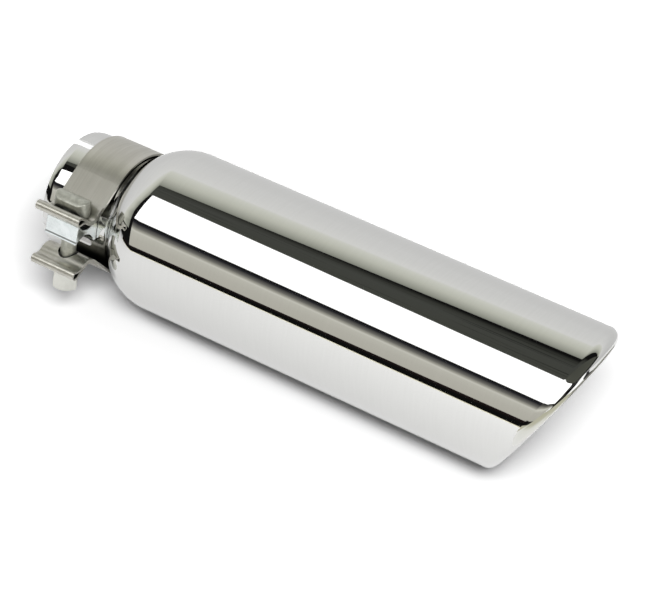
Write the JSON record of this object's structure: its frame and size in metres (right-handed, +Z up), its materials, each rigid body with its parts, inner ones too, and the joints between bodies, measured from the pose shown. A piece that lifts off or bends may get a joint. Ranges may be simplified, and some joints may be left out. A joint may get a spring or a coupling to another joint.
{
  "type": "exhaust tip",
  "caption": "Polished tubular exhaust tip with a slanted rolled outlet, a domed shoulder and a slotted inlet neck held on the tailpipe by a strap clamp with a T-bolt.",
  "frame": {"origin": "centre of the inlet mouth, on the tube's axis", "axes": "+X along the tube from the inlet to the outlet, +Z up through the long side of the slanted cut, clamp's ears towards -Y"},
  "size_m": [0.365, 0.1172, 0.1016],
  "materials": {
    "polished_stainless": "mirror polished",
    "strap_stainless": "mill rolled",
    "bright_zinc": "zinc plated",
    "grey_zinc": "zinc plated"
  },
  "bodies": {
    "root": {"tip_shell": "polished_stainless", "clamp_band": "strap_stainless", "reaction_block": "bright_zinc", "t_bolt": "grey_zinc", "saddle_washer": "grey_zinc", "hex_nut": "bright_zinc"}
  },
  "joints": []
}
